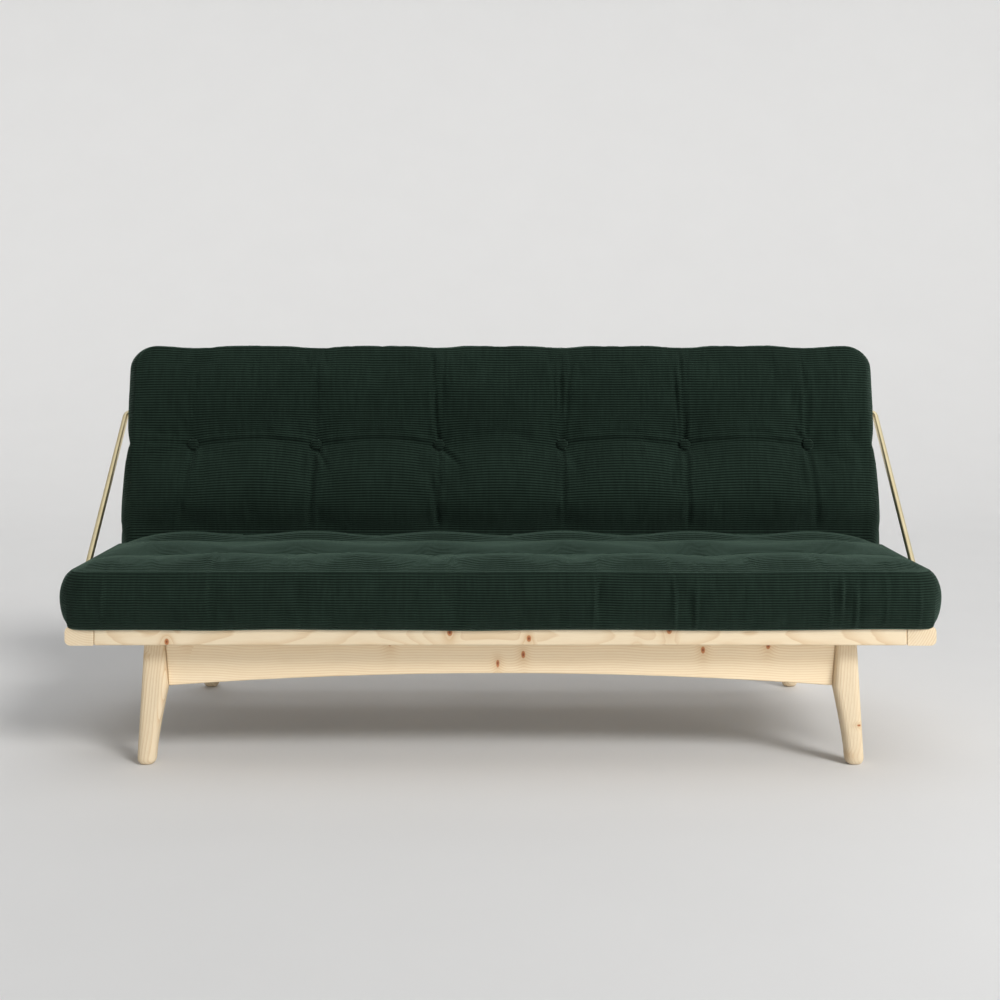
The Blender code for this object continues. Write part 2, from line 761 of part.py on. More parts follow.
clear_scene()
PARTS = make_collection("futon_sofa_bed")
CUTTERS = make_collection("cutters")
PINE = make_material("pine", (0.78, 0.60, 0.37), 0.55)
BRASS = make_material("satin_brass", (0.60, 0.47, 0.25), 0.32, 1.0)
STEEL = make_material("zinc_steel", (0.56, 0.57, 0.58), 0.35, 1.0)
CORDUROY = make_material("green_corduroy", (0.022, 0.040, 0.030), 0.9)
ROOT = make_empty("sofa_origin", location=(0, -ORIGIN_DEPTH, 0))
SEAT = make_empty("seat_slide_axis", ROOT)
HINGE_SEAT = make_empty("hinge_axis", SEAT, (0, HINGE_DEPTH, HINGE_HEIGHT))
BACK = make_empty("back_fold_axis", HINGE_SEAT, rotation=(BACK_ANGLE, 0, 0))
make_base()
SEAT_RAILS = make_seat()
make_back()
make_hinges()
make_stays(SEAT_RAILS)
make_mattress()
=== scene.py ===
"""Looks for the futon sofa bed: mattress, buttons, wood, metal, floor, light and camera.

Metres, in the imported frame: +Z up, the sofa faces -Y, left is -X.
The mattress is one closed skin, swept along the profile of the folded futon.
"""

import json
import math

import bmesh
import bpy
import numpy as np
from mathutils import Matrix, Vector


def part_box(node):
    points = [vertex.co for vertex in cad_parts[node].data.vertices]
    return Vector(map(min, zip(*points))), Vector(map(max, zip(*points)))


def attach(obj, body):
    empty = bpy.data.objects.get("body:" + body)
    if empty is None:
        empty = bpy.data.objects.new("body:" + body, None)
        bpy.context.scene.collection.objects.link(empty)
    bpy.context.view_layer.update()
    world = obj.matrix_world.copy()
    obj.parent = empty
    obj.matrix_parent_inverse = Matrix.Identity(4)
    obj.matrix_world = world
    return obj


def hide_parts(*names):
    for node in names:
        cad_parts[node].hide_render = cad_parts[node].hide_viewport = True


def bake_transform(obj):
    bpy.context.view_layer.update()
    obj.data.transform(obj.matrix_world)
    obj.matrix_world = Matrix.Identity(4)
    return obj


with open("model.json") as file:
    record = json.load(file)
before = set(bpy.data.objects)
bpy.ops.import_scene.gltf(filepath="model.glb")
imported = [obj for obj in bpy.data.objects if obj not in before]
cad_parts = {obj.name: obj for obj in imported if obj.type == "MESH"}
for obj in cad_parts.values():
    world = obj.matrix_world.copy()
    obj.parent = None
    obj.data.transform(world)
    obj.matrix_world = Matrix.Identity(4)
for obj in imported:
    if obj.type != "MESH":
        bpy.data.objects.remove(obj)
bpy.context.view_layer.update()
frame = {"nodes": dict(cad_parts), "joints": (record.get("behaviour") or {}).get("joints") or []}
NODES = frame["nodes"]
SCENE = bpy.context.scene
QUARTER = math.pi / 2

# Places taken from the frame
JOINTS = {joint["name"]: joint for joint in frame["joints"]}
HINGE = np.array(JOINTS["back_fold"]["pos_m"][1:])
FOLD_ANGLE = -math.radians(JOINTS["back_fold"]["range_deg"][0])
SEAT_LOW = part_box("mattress_seat")[0]
FRONT = SEAT_LOW[1]
UNDERSIDE = SEAT_LOW[2]
RAIL_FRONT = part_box("seat_rail_front")[0][1]

# Mattress sizes
CREST = 0.1447  # highest part of the padding above the hinge axis
BACK_LENGTH = 0.599
BACK_UNDERSIDE = 0.0046  # underside of the back half above the hinge axis
HALF_WIDTH = 0.947  # to the seam of the top panel
SEAM_DROP = 0.023  # seam below the crest
CROWN_REACH = 0.046
CORNER_RADIUS = 0.052
SEAT_BULGE = 0.024
BACK_BULGE = 0.026
FRONT_DROOP = 0.0075  # how far the front hem hangs below the top of the rail
HEM_REACH = 0.009  # the hem turns under within this distance of the front
FRONT_BULGE = 0.013
TOP_BULGE = 0.006
FOLD_BULGE = 0.029  # of both halves' sides where they meet
WAIST = 0.0050  # how far the back's sides draw in beside the row of buttons
WAIST_WIDTH = 0.028
BELLY = 0.011  # how far the low part of the back's sides stands out
TOP_DIP = 0.0055  # how far the back's top edge is pulled down at the columns of buttons
TOP_DIP_REACH = 0.09
BOXING_ROWS = 12
FOLD_REACH = 0.070  # the padding begins to roll into the fold this far before the crease
FOLD_DROP = 0.044  # the two halves meet this far below the crease
FOLD_WALL = 0.016  # the halves lie against each other for this far below that
FOLD_KNEE = 0.006  # how far the roll into the fold starts below the crest
FOLD_GAP = 0.0008
GAP_RAMP = 0.01  # the gap opens over this distance
SHOULDER_POINTS = 14
COLUMN_PITCH = {False: 0.3130, True: 0.3185}  # between buttons, on the seat and on the back
COLUMNS = {
    back: [pitch * (number - 2.5) for number in range(6)] for back, pitch in COLUMN_PITCH.items()
}
ROW_FROM_END = {False: 0.241, True: 0.254}  # row of buttons from the free end of each half
WALE = 0.0065  # one rib of the corduroy with its groove
BOXING_CLOTH = 1.2  # cloth on the boxing for each metre of its height
FINE_STEP = 0.0055  # steps of the lattice
COARSE_STEP = 0.0115
FOLD_STEP = 0.0038  # at the short folds of the front edge
STEP_RAMP = 0.03  # the steps widen over this distance
FINE_REACH = 0.035  # steps stay fine this far from a row of buttons, a seam or the fold
COLUMN_REACH = 0.028  # and this far from a column of buttons
FRONT_FOLD_REACH = 0.016
FOLD_ROWS_HELD = 9  # rows of the lattice on each side of the fold
BUTTON_RADIUS = 0.0145
BUTTON_DOME = 0.0062
BUTTON_FLAT = 0.0007  # how much lower the middle of the dome is
BUTTON_ARC = math.radians(118)  # from the middle round to the underside
BUTTON_TUCK = 0.12  # share by which the rim draws in
BUTTON_TUCK_FROM = 0.76  # share of the way round at which that starts
BUTTON_TUCK_DROP = 1.4
BUTTON_PLEATS = 7
BUTTON_UNEVEN = 0.010
BUTTON_SIDES = 28
BUTTON_RINGS = 9
BUTTON_PROUD = 0.0045  # how far a button stands out of its dimple
BUTTON_WALE = 0.0062
# painted shade: the buttons' copy of the cloth is darkened by this share against the mattress's
BUTTON_PAINTED_SHADE = 0.85
BUTTON_WELL = 0.011  # flat bottom of the dimple under a button

# The cloth simulation
SETTLE_FRAMES = 16
SETTLE_QUALITY = 5
PAD_PRESSURE = 0.8
CLOTH_EASE = 0.006  # share by which the cover is cut larger than the padding
MOVE_CAP = 0.007
SEAM_EASE = 0.040  # the padding swells less this near a seam


# ---------------------------------------------------------------- profile of the folded mattress


def unit(angle):
    return np.array([math.cos(angle), math.sin(angle)])


FOLD_HALF = (math.pi - FOLD_ANGLE) / 2
TO_CREASE = unit(math.pi - FOLD_HALF)  # from the hinge along the plane that halves the fold
CREASE_SIDE = np.array([TO_CREASE[1], -TO_CREASE[0]])  # points to the back's side of that plane


def mirror(points):
    """Points of the seat's half, mirrored in the plane that halves the fold."""
    offset = points - HINGE
    return points - 2 * np.outer(offset @ CREASE_SIDE, CREASE_SIDE)


def resample(points, places):
    """Points of a polyline at these distances along it."""
    along = np.concatenate([[0], np.cumsum(np.linalg.norm(np.diff(points, axis=0), axis=1))])
    return np.column_stack([np.interp(places, along, points[:, axis]) for axis in (0, 1)])


def length_of(points):
    return float(np.linalg.norm(np.diff(points, axis=0), axis=1).sum())


def half_top(height, start):
    """Top of one half, from its free end into the fold: level, round shoulder, wall."""
    crease_reach = height / math.sin(FOLD_HALF)
    crease = HINGE + TO_CREASE * crease_reach
    first = crease - (FOLD_REACH, 0)
    knee = crease - (FOLD_REACH / 3, FOLD_KNEE)
    last = HINGE + TO_CREASE * (crease_reach - FOLD_DROP)
    turns = np.linspace(0, 1, SHOULDER_POINTS)[:, None]
    shoulder = first * (1 - turns) ** 2 + 2 * knee * turns * (1 - turns) + last * turns**2
    wall_end = last - TO_CREASE * FOLD_WALL
    path = np.array([[start, crease[1]], *shoulder, wall_end])
    path -= CREASE_SIDE * FOLD_GAP * np.clip((path[:, :1] - crease[0]) / GAP_RAMP + 1, 0, 1)
    path[-1] = wall_end
    return path


def half_bottom(height, start):
    """Underside of one half, from its free end to the fold."""
    end = HINGE + TO_CREASE * (height / math.sin(FOLD_HALF))
    return np.array([[start, end[1]], end])


def graded(length, fine_places):
    """Places from 0 to length, close together near the fine places."""
    places = [0.0]
    while places[-1] < length:
        near = min(abs(places[-1] - place) for place in fine_places)
        share = np.clip((near - FINE_REACH) / STEP_RAMP, 0, 1)
        places.append(places[-1] + FINE_STEP + (COARSE_STEP - FINE_STEP) * share)
    places = np.array(places)
    return places * (length / places[-1])


def make_profile():
    """Matching rows of top and underside points along the whole mattress, and facts about them."""
    back_start = HINGE[0] - BACK_LENGTH
    halves = []
    for start, under, fine in (
        (FRONT, UNDERSIDE - HINGE[1], [0.0, ROW_FROM_END[False]]),
        (back_start, BACK_UNDERSIDE, [0.0, ROW_FROM_END[True]]),
    ):
        top = half_top(CREST, start)
        bottom = half_bottom(under, start)
        length = length_of(top)
        places = graded(length, [*fine, length])
        share = places / length
        under_places = places + (length_of(bottom) - length) * share**3
        halves.append((places, resample(top, places), resample(bottom, under_places)))
    (seat_s, seat_top, seat_low), (back_s, back_top, back_low) = halves
    back_top, back_low = mirror(back_top), mirror(back_low)
    top = np.vstack([seat_top, back_top[-2::-1]])
    low = np.vstack([seat_low, back_low[-2::-1]])
    cloth = np.concatenate([seat_s, seat_s[-1] + (back_s[-1] - back_s[-2::-1])])
    from_end = np.concatenate([seat_s, back_s[-2::-1]])
    on_back = np.zeros(len(top), bool)
    on_back[len(seat_top):] = True
    tangent = np.gradient(top, cloth, axis=0)
    tangent /= np.linalg.norm(tangent, axis=1)[:, None]
    normal = np.column_stack([-tangent[:, 1], tangent[:, 0]])
    return {
        "top": top,
        "low": low,
        "cloth": cloth,
        "from_end": from_end,
        "on_back": on_back,
        "normal": normal,
        "fold_row": len(seat_top) - 1,
    }


PROFILE = make_profile()


# ---------------------------------------------------------------- relief of the padding


def gauss(distance, width):
    return np.exp(-((distance / width) ** 2))


def column_distance(u, on_back):
    """Distance to the nearest column of buttons."""
    return np.abs(u[..., None] - np.array(COLUMNS[on_back])).min(axis=-1)


def column_wave(u, on_back):
    """1 at the columns of buttons and -1 half-way between them."""
    return np.cos(math.tau * (u - COLUMNS[on_back][0]) / COLUMN_PITCH[on_back])


def dimple(near, row, depth, reach):
    """A button's dimple: flat under the button and rising steeply round it."""
    out = np.maximum(np.hypot(near, row) - BUTTON_WELL, 0)
    return depth * np.exp(-((out / reach) ** 1.1))


def smooth_noise(u, v, size, seed):
    """Soft bumps between about -1 and 1, of about this size."""
    rng = np.random.default_rng(seed)
    total = np.zeros(np.broadcast(u, v).shape)
    for _ in range(9):
        heading = rng.uniform(0, math.tau)
        wave = rng.uniform(0.7, 1.4) * math.tau / size
        phase = rng.uniform(0, math.tau)
        total += np.sin(wave * (u * math.cos(heading) + v * math.sin(heading)) + phase)
    return total / 4


def rib_arch(u, v):
    """How far the ribs of the back's front panel are pulled up between the buttons."""
    share = np.abs(u - COLUMNS[True][0]) / COLUMN_PITCH[True] % 1
    inside = (u > COLUMNS[True][0]) & (u < COLUMNS[True][-1])
    row = v - ROW_FROM_END[True]
    reach = np.where(row < 0, 0.070, 0.130)
    return CREASE_ARCH * (1 - (2 * share - 1) ** 2) * inside * gauss(row, reach)


def stroke(u, v, start, end, width, depth):
    """A fold from start to end that fades at both ends, with a soft lip on each side."""
    start, end = np.array(start), np.array(end)
    run = end - start
    length = np.linalg.norm(run)
    run /= length
    along = (u - start[0]) * run[0] + (v - start[1]) * run[1]
    across = -(u - start[0]) * run[1] + (v - start[1]) * run[0]
    share = np.clip(along / length, 0, 1)
    beyond = along - np.clip(along, 0, length)
    fade = (1 - 0.55 * share) * gauss(beyond, 2 * width)
    lip = gauss(np.abs(across) - 2.2 * width, width * 1.3)
    return depth * fade * (0.45 * lip - gauss(across, width))


# Folds on the back: column, then start and end as sideways and upward offsets
# from that column's button, width and depth
BACK_FOLDS = [
    (0, (-0.004, 0.02), (0.016, 0.22), 0.0050, 0.0014),
    (0, (0.002, -0.02), (-0.026, -0.21), 0.0065, 0.0034),
    (0, (-0.010, -0.06), (-0.052, -0.22), 0.0060, 0.0030),
    (0, (-0.02, 0.002), (-0.125, 0.006), 0.0050, 0.0034),
    (0, (-0.03, -0.008), (-0.105, -0.030), 0.0050, 0.0030),
    (1, (0.000, 0.02), (0.002, 0.21), 0.0050, 0.0014),
    (1, (-0.002, -0.03), (-0.012, -0.22), 0.0075, 0.0050),
    (1, (0.006, -0.016), (0.034, -0.065), 0.0055, 0.0050),
    (2, (-0.003, 0.02), (-0.018, 0.23), 0.0050, 0.0060),
    (2, (0.004, 0.02), (0.016, 0.23), 0.0045, 0.0030),
    (2, (-0.008, 0.03), (-0.030, 0.21), 0.0045, 0.0022),
    (2, (0.000, -0.02), (0.000, -0.22), 0.0055, 0.0036),
    (2, (-0.016, -0.10), (-0.002, -0.21), 0.0065, 0.0044),
    (2, (0.010, -0.014), (0.050, -0.050), 0.0065, 0.0042),
    (3, (-0.002, 0.02), (-0.004, 0.23), 0.0045, 0.0050),
    (3, (0.005, 0.02), (0.026, 0.23), 0.0045, 0.0040),
    (3, (-0.008, 0.02), (-0.030, 0.21), 0.0045, 0.0026),
    (3, (0.001, -0.02), (0.004, -0.22), 0.0055, 0.0034),
    (4, (-0.002, 0.02), (-0.012, 0.23), 0.0050, 0.0050),
    (4, (0.003, 0.02), (0.004, 0.22), 0.0045, 0.0030),
    (4, (-0.012, 0.02), (-0.032, 0.19), 0.0050, 0.0024),
    (4, (0.002, -0.03), (0.003, -0.22), 0.0065, 0.0040),
    (5, (-0.004, 0.03), (-0.012, 0.22), 0.0050, 0.0040),
    (5, (0.004, 0.05), (-0.002, 0.22), 0.0045, 0.0026),
    (5, (0.000, -0.03), (0.014, -0.22), 0.0065, 0.0036),
    (5, (-0.012, 0.010), (-0.036, 0.040), 0.0060, 0.0034),
]
# Spans between neighbouring columns that have a sharp level fold through both buttons
CREASED_SPANS = (0, 1, 3, 4)
CREASE_ARCH = 0.012

# Short folds over the seat's front edge: their ridge and furrow, and each one's place along X
# and lean
FOLD_RIDGE = 0.0055
FOLD_FURROW = 0.0028
SEAT_FOLDS = [
    (-0.862, 0.004), (-0.640, 0.003), (-0.098, -0.008), (0.205, 0.004), (0.375, -0.003),
    (0.425, 0.002), (0.458, -0.006), (0.536, 0.002), (0.712, -0.003), (0.742, 0.004),
    (0.772, 0.002), (0.838, 0.004), (0.882, -0.006), (0.912, 0.003),
]

# How far the panels lie below their level before the padding swells them
SEAT_SLACK = 0.0070
BACK_SLACK = 0.0040
CROWN_SHARPNESS = 1.15
# Rolls and valleys along the seat: distance from the front seam, width, rise, what a column of
# buttons adds to the rise, and how far forward it shifts them
SEAT_WAVES = (
    (ROW_FROM_END[False], 0.058, -0.0195, 0.0030, 0),
    (0.455, 0.034, -0.0140, 0, 0.008),
    (0.360, 0.045, 0, 0.0048, 0),
    (0.505, 0.036, 0.0155, 0.0030, 0),
)
# The front roll, which the seam holds down: the same without the shift
FRONT_ROLL = ((0.060, 0.045, 0.0140, 0), (0.080, 0.055, 0, -0.0055))
# Depth and reach of a button's dimple on the seat and on the back
DIMPLES = {False: (0.0090, 0.018), True: (0.0130, 0.026)}
BACK_VALLEY = 0.0330  # depth of the valley through the back's buttons
COLUMN_VALLEY = 0.0034  # depth that the columns' valleys gain below the buttons
BACK_TUCK = 0.024  # how far the back's padding falls away before it reaches the fold


def crown(u, v):
    """The top panel's rise from its seams, and its two shares."""

    def share(distance):
        return 1 - np.exp(-((np.maximum(distance, 0) / CROWN_REACH) ** CROWN_SHARPNESS))

    across, along = share(HALF_WIDTH - np.abs(u)), share(v)
    return -SEAM_DROP * (1 - across * along), across, along


def seat_relief(u, v):
    """How far the seat's top panel lies above its level. v is the distance from the front seam."""
    height, across, along = crown(u, v)
    wave = column_wave(u, False)
    height -= across * along * (SEAT_SLACK + 0.0070 * gauss(v - 0.43, 0.09))
    for place, width, rise, gain, shift in SEAT_WAVES:
        height += across * (rise + gain * wave) * gauss(v - place + shift * wave, width)
    for place, width, rise, gain in FRONT_ROLL:
        height += across * along * (rise + gain * wave) * gauss(v - place, width)
    height -= dimple(column_distance(u, False), v - ROW_FROM_END[False], *DIMPLES[False])
    return height + 0.0012 * smooth_noise(u, 0.5 * v, 0.42, 11)


def seat_folds(u, v):
    """Fine folds of the seat's top panel."""
    height = 0 * u * v
    for place, lean in SEAT_FOLDS:
        height += stroke(u, v, (place, -0.03), (place + 2 * lean, 0.05), 0.005, 0.0006)
    return height


def back_relief(u, v):
    """How far the back's front panel lies above its level. v is the distance from the top seam."""
    height, across, along = crown(u, v)
    wave = column_wave(u, True)
    near = column_distance(u, True)
    row = v - ROW_FROM_END[True]
    arched = row + CREASE_ARCH * (0.4 - 0.6 * wave)
    height -= across * along * BACK_SLACK
    valley = gauss(arched, np.where(arched < 0, 0.115, 0.075))
    height -= across * along * (BACK_VALLEY + 0.0015 * smooth_noise(u, 0 * v, 0.5, 3)) * valley
    height -= across * BACK_TUCK * np.clip((v - 0.36) / 0.13, 0, 1) ** 2
    low = np.clip(row / 0.20, 0, 1)
    height -= across * along * (0.0012 + COLUMN_VALLEY * low) * gauss(near, 0.060)
    height -= dimple(near, row, *DIMPLES[True])
    return height + 0.0018 * smooth_noise(u, v, 0.34, 12)


def back_folds(u, v):
    """Fine folds of the back's front panel: along the columns, and level through the buttons."""
    height = 0 * u * v
    row = v - ROW_FROM_END[True]
    for column, start, end, width, depth in BACK_FOLDS:
        button = np.array([COLUMNS[True][column], ROW_FROM_END[True]])
        first = button + np.array(start) * (1, -1)
        last = button + np.array(end) * (1, -1)
        height += stroke(u, v, first, last, 0.85 * width, 1.6 * depth)
    for span in CREASED_SPANS:
        middle = (COLUMNS[True][span] + COLUMNS[True][span + 1]) / 2
        share = (u - middle) / (COLUMN_PITCH[True] / 2)
        inside = np.clip(1 - np.abs(share) ** 12, 0, 1)
        line = row + CREASE_ARCH * (1 - share**2) + 0.0015 * np.sin(3 * share + span)
        height += inside * 0.0050 * gauss(line + 0.010, 0.0065)
        height -= inside * 0.0050 * gauss(line - 0.002, 0.0055)
        height += inside * 0.0012 * gauss(line + 0.030, 0.007)
    return height


# ---------------------------------------------------------------- the mattress skin


def u_places():
    """Places across the width, close together near the columns of buttons and at the ends."""
    places = [-HALF_WIDTH]
    folds = [place + lean for place, lean in SEAT_FOLDS]
    while places[-1] < HALF_WIDTH:
        here = places[-1]
        near = min(abs(here - place) for place in [*COLUMNS[True], *COLUMNS[False]]) - COLUMN_REACH
        near = min(near, HALF_WIDTH - abs(here) - CORNER_RADIUS)
        share = np.clip(near / STEP_RAMP, 0, 1)
        step = FINE_STEP + (COARSE_STEP - FINE_STEP) * share
        if min(abs(here - place) for place in folds) < FRONT_FOLD_REACH:
            step = min(step, FOLD_STEP)
        places.append(here + step)
    places = np.array(places)
    middle = (places[0] + places[-1]) / 2
    return (places - middle) * (HALF_WIDTH / (places[-1] - middle))


def round_plan(u, v_near):
    """Moves places near a corner of the outline onto a rounded corner. Returns the inward moves."""
    a = np.clip((np.abs(u) - (HALF_WIDTH - CORNER_RADIUS)) / CORNER_RADIUS, 0, 1)
    b = np.clip(1 - v_near / CORNER_RADIUS, 0, 1)
    move_u = CORNER_RADIUS * a * (1 - np.sqrt(1 - b**2 / 2))
    move_v = CORNER_RADIUS * b * (1 - np.sqrt(1 - a**2 / 2))
    return move_u, move_v


def level_shares():
    """Levels of the boxing from the underside, 0, to the top panel, 1, closer together at both."""
    even = np.linspace(0, 1, BOXING_ROWS + 1)
    return (even + (1 - np.cos(math.pi * even)) / 2) / 2


def skin_points(us):
    """World points of the lattice: rows along the profile, columns across, and levels up."""
    rows = len(PROFILE["top"])
    levels = level_shares()
    v = PROFILE["from_end"][:, None]
    u = us[None, :]
    back = PROFILE["on_back"][:, None]
    lift = np.where(back, back_relief(u, v), seat_relief(u, v))
    fold_rows = np.abs(np.arange(rows) - PROFILE["fold_row"])[:, None]
    lift *= np.clip((fold_rows - 2) / 8, 0, 1)
    top = PROFILE["top"][:, None, :] + PROFILE["normal"][:, None, :] * lift[..., None]
    low = np.repeat(PROFILE["low"][:, None, :], len(us), axis=1)
    hem = np.clip(1 - v / HEM_REACH, 0, 1) * np.where(back, 0, 1)
    low[..., 1] -= hem * (FRONT_DROOP + 0.0015 * smooth_noise(u, 0 * v, 0.35, 5))
    move_u, move_v = round_plan(u, v)
    inward = np.zeros((rows, 2))
    inward[: PROFILE["fold_row"]] = (1, 0)
    inward[PROFILE["fold_row"]:] = mirror(HINGE + np.array([[1.0, 0.0]])) - HINGE
    points = np.zeros((rows, len(us), len(levels), 3))
    widen = np.where(back, BACK_BULGE, SEAT_BULGE) * np.ones_like(u)
    along = np.clip(fold_rows / 20, 0, 1)
    low_back = np.clip((v - 0.20) / 0.30, 0, 1)
    widen = widen + back * BELLY * low_back**2 * (3 - 2 * low_back)
    widen = widen - back * WAIST * gauss(v - ROW_FROM_END[True], WAIST_WIDTH)
    widen = widen * along + FOLD_BULGE * (1 - along)
    end_bulge = np.where(back, TOP_BULGE, FRONT_BULGE)
    side_share = np.clip((np.abs(u) - (HALF_WIDTH - CORNER_RADIUS)) / CORNER_RADIUS, 0, 1)
    end_share = np.clip(1 - v / CORNER_RADIUS, 0, 1)
    facing = math.pi / 4 * (1 + side_share - end_share)
    pull = (0.5 + 0.5 * column_wave(us, True)) ** 3
    dip = back * TOP_DIP * pull * np.clip(1 - v / TOP_DIP_REACH, 0, 1) ** 2
    for number, w in enumerate(levels):
        bow = (4 * w * (1 - w)) ** (0.5 if w < 0.5 else 0.75)
        plan = 1 - 0.45 * np.where(back, 0, 1) * max(0, 1 - w / 0.4) ** 2
        yz = low * (1 - w) + top * w
        bulge = bow * (end_bulge * np.cos(facing) ** 2 + widen * np.sin(facing) ** 2)
        out_v = bulge * np.cos(facing) - dip * w
        yz = yz + inward[:, None, :] * (plan * move_v - out_v)[..., None]
        x = u - np.sign(u) * (plan * move_u - bulge * np.sin(facing))
        points[:, :, number, 0] = x
        points[:, :, number, 1:] = yz
    return points


def surface_faces(rows, columns, levels):
    """Quads of a lattice's surface as lattice indices, with the panel that each belongs to."""

    def grid(first, second, build, flip):
        i, j = np.meshgrid(np.arange(first), np.arange(second), indexing="ij")
        quads = [build(i, j), build(i + 1, j), build(i + 1, j + 1), build(i, j + 1)]
        quads = [np.stack([np.broadcast_to(part, i.shape) for part in q], -1) for q in quads]
        if flip:
            quads = quads[::-1]
        return np.stack(quads, axis=2).reshape(-1, 4, 3)

    panels = [
        ("top", grid(rows - 1, columns - 1, lambda i, j: (i, j, levels - 1), True)),
        ("under", grid(rows - 1, columns - 1, lambda i, j: (i, j, 0), False)),
        ("front", grid(columns - 1, levels - 1, lambda i, j: (0, i, j), False)),
        ("end", grid(columns - 1, levels - 1, lambda i, j: (rows - 1, i, j), True)),
        ("left", grid(rows - 1, levels - 1, lambda i, j: (i, 0, j), True)),
        ("right", grid(rows - 1, levels - 1, lambda i, j: (i, columns - 1, j), False)),
    ]
    return panels


def make_mattress(material):
    """The closed skin with its cloth coordinates, in metres of cloth, in a UV layer."""
    us = u_places()
    points = skin_points(us)
    rows, columns, levels, _ = points.shape
    panels = surface_faces(rows, columns, levels)
    quads = np.concatenate([quad for _, quad in panels])
    flat = (quads[..., 0] * columns + quads[..., 1]) * levels + quads[..., 2]
    used, index = np.unique(flat, return_inverse=True)
    index = index.reshape(-1, 4)
    coordinates = points.reshape(-1, 3)[used]
    mesh = bpy.data.meshes.new("mattress_cover")
    mesh.from_pydata(coordinates.tolist(), [], index.tolist())
    cloth = PROFILE["cloth"]
    height_shares = level_shares()
    uv = []
    for name, quad in panels:
        u = us[quad[..., 1]]
        v = cloth[quad[..., 0]]
        w = height_shares[quad[..., 2]] * (CREST - SEAM_DROP) * BOXING_CLOTH
        if name in ("top", "under"):
            upper = PROFILE["on_back"][quad[..., 0]] & (name == "top")
            pair = (u, v - upper * rib_arch(u, PROFILE["from_end"][quad[..., 0]]))
        elif name in ("front", "end"):
            pair = (u, w)
        else:
            upright = (quad[..., 0].min(axis=1) >= PROFILE["fold_row"])[:, None]
            pair = (np.where(upright, w, v), np.where(upright, v, w))
        uv.append(np.stack(pair, -1).reshape(-1, 2))
    layer = mesh.uv_layers.new(name="cloth")
    layer.data.foreach_set("uv", np.concatenate(uv).ravel())
    mesh.materials.append(material)
    mesh.shade_smooth()
    mesh.validate()
    obj = bpy.data.objects.new("mattress_cover", mesh)
    SCENE.collection.objects.link(obj)
    lattice = np.stack(np.unravel_index(used, (rows, columns, levels)), -1)
    return obj, us, lattice


def settle(obj, us, lattice):
    """Lets the padding swell between its tufts and seams, as cloth under pressure."""
    row, column, level = lattice.T
    u = us[column]
    v = PROFILE["from_end"][row]
    top = level == BOXING_ROWS
    tuft = np.zeros(len(u), bool)
    for on_back in (False, True):
        near = np.hypot(column_distance(u, on_back), v - ROW_FROM_END[on_back])
        tuft |= top & (PROFILE["on_back"][row] == on_back) & (near < BUTTON_WELL)
    seam = ((np.abs(u) > HALF_WIDTH - 1e-4) | (v < 1e-4)) & (top | (level == 0))
    folded = np.abs(row - PROFILE["fold_row"]) < FOLD_ROWS_HELD
    held = tuft | seam | folded | (level == 0)
    group = obj.vertex_groups.new(name="held")
    group.add(np.nonzero(held)[0].tolist(), 1.0, "REPLACE")
    modifier = obj.modifiers.new("Padding", "CLOTH")
    cloth = modifier.settings
    cloth.quality = SETTLE_QUALITY
    cloth.mass = 0.4
    cloth.tension_stiffness = 12
    cloth.compression_stiffness = 12
    cloth.shear_stiffness = 4
    cloth.bending_stiffness = 2.0
    cloth.shrink_min = -CLOTH_EASE
    cloth.vertex_group_mass = "held"
    cloth.pin_stiffness = 1.0
    cloth.use_pressure = True
    cloth.uniform_pressure_force = PAD_PRESSURE
    cloth.effector_weights.gravity = 0
    modifier.collision_settings.use_collision = False
    modifier.collision_settings.use_self_collision = False
    modifier.point_cache.frame_start = 1
    modifier.point_cache.frame_end = SETTLE_FRAMES
    for number in range(1, SETTLE_FRAMES + 1):
        SCENE.frame_set(number)
    graph = bpy.context.evaluated_depsgraph_get()
    settled = obj.evaluated_get(graph)
    count = len(obj.data.vertices)
    before = np.empty(count * 3)
    after = np.empty(count * 3)
    obj.data.vertices.foreach_get("co", before)
    settled.data.vertices.foreach_get("co", after)
    move = (after - before).reshape(-1, 3)
    far = np.linalg.norm(move, axis=1)
    move *= (MOVE_CAP * np.tanh(far / MOVE_CAP) / np.maximum(far, 1e-9))[:, None]
    from_seam = np.where(top, np.minimum(HALF_WIDTH - np.abs(u), v) / SEAM_EASE, 1)
    move *= np.clip(from_seam, 0, 1)[:, None]
    obj.modifiers.remove(modifier)
    obj.vertex_groups.remove(group)
    obj.data.vertices.foreach_set("co", before + move.ravel())
    obj.data.update()
    SCENE.frame_set(1)


def crinkle(obj, us, lattice):
    """Presses the fine folds into the top panels and the front boxing."""
    row, column, level = lattice.T
    u = us[column]
    v = PROFILE["from_end"][row]
    back = PROFILE["on_back"][row]
    w = level_shares()[level]
    clear = np.clip((np.abs(row - PROFILE["fold_row"]) - 3) / 6, 0, 1)
    folds = np.where(back, back_folds(u, v), seat_folds(u, v)) * clear * (level == BOXING_ROWS)
    offset = np.zeros((len(u), 3))
    offset[:, 1:] = PROFILE["normal"][row] * folds[:, None]
    ripple = 0.0010 * smooth_noise(u * 1.8, w * 0.05, 0.12, 31)
    for number, (place, lean) in enumerate(SEAT_FOLDS):
        size = 0.7 + 0.5 * math.sin(5.1 * number)
        reach = np.clip(1.4 - 1.6 * np.abs(w - 0.5 - 0.3 * math.sin(2.3 * number)), 0, 1)
        beside = u - place + lean * (1 - w)
        ripple += FOLD_RIDGE * size * reach * gauss(beside, 0.0040)
        ripple -= FOLD_FURROW * size * reach * gauss(beside - 0.009, 0.005)
    offset[:, 1] -= ripple * (4 * w * (1 - w)) ** 0.6 * (row == 0)
    before = np.empty(offset.size)
    obj.data.vertices.foreach_get("co", before)
    obj.data.vertices.foreach_set("co", before + offset.ravel())
    obj.data.update()


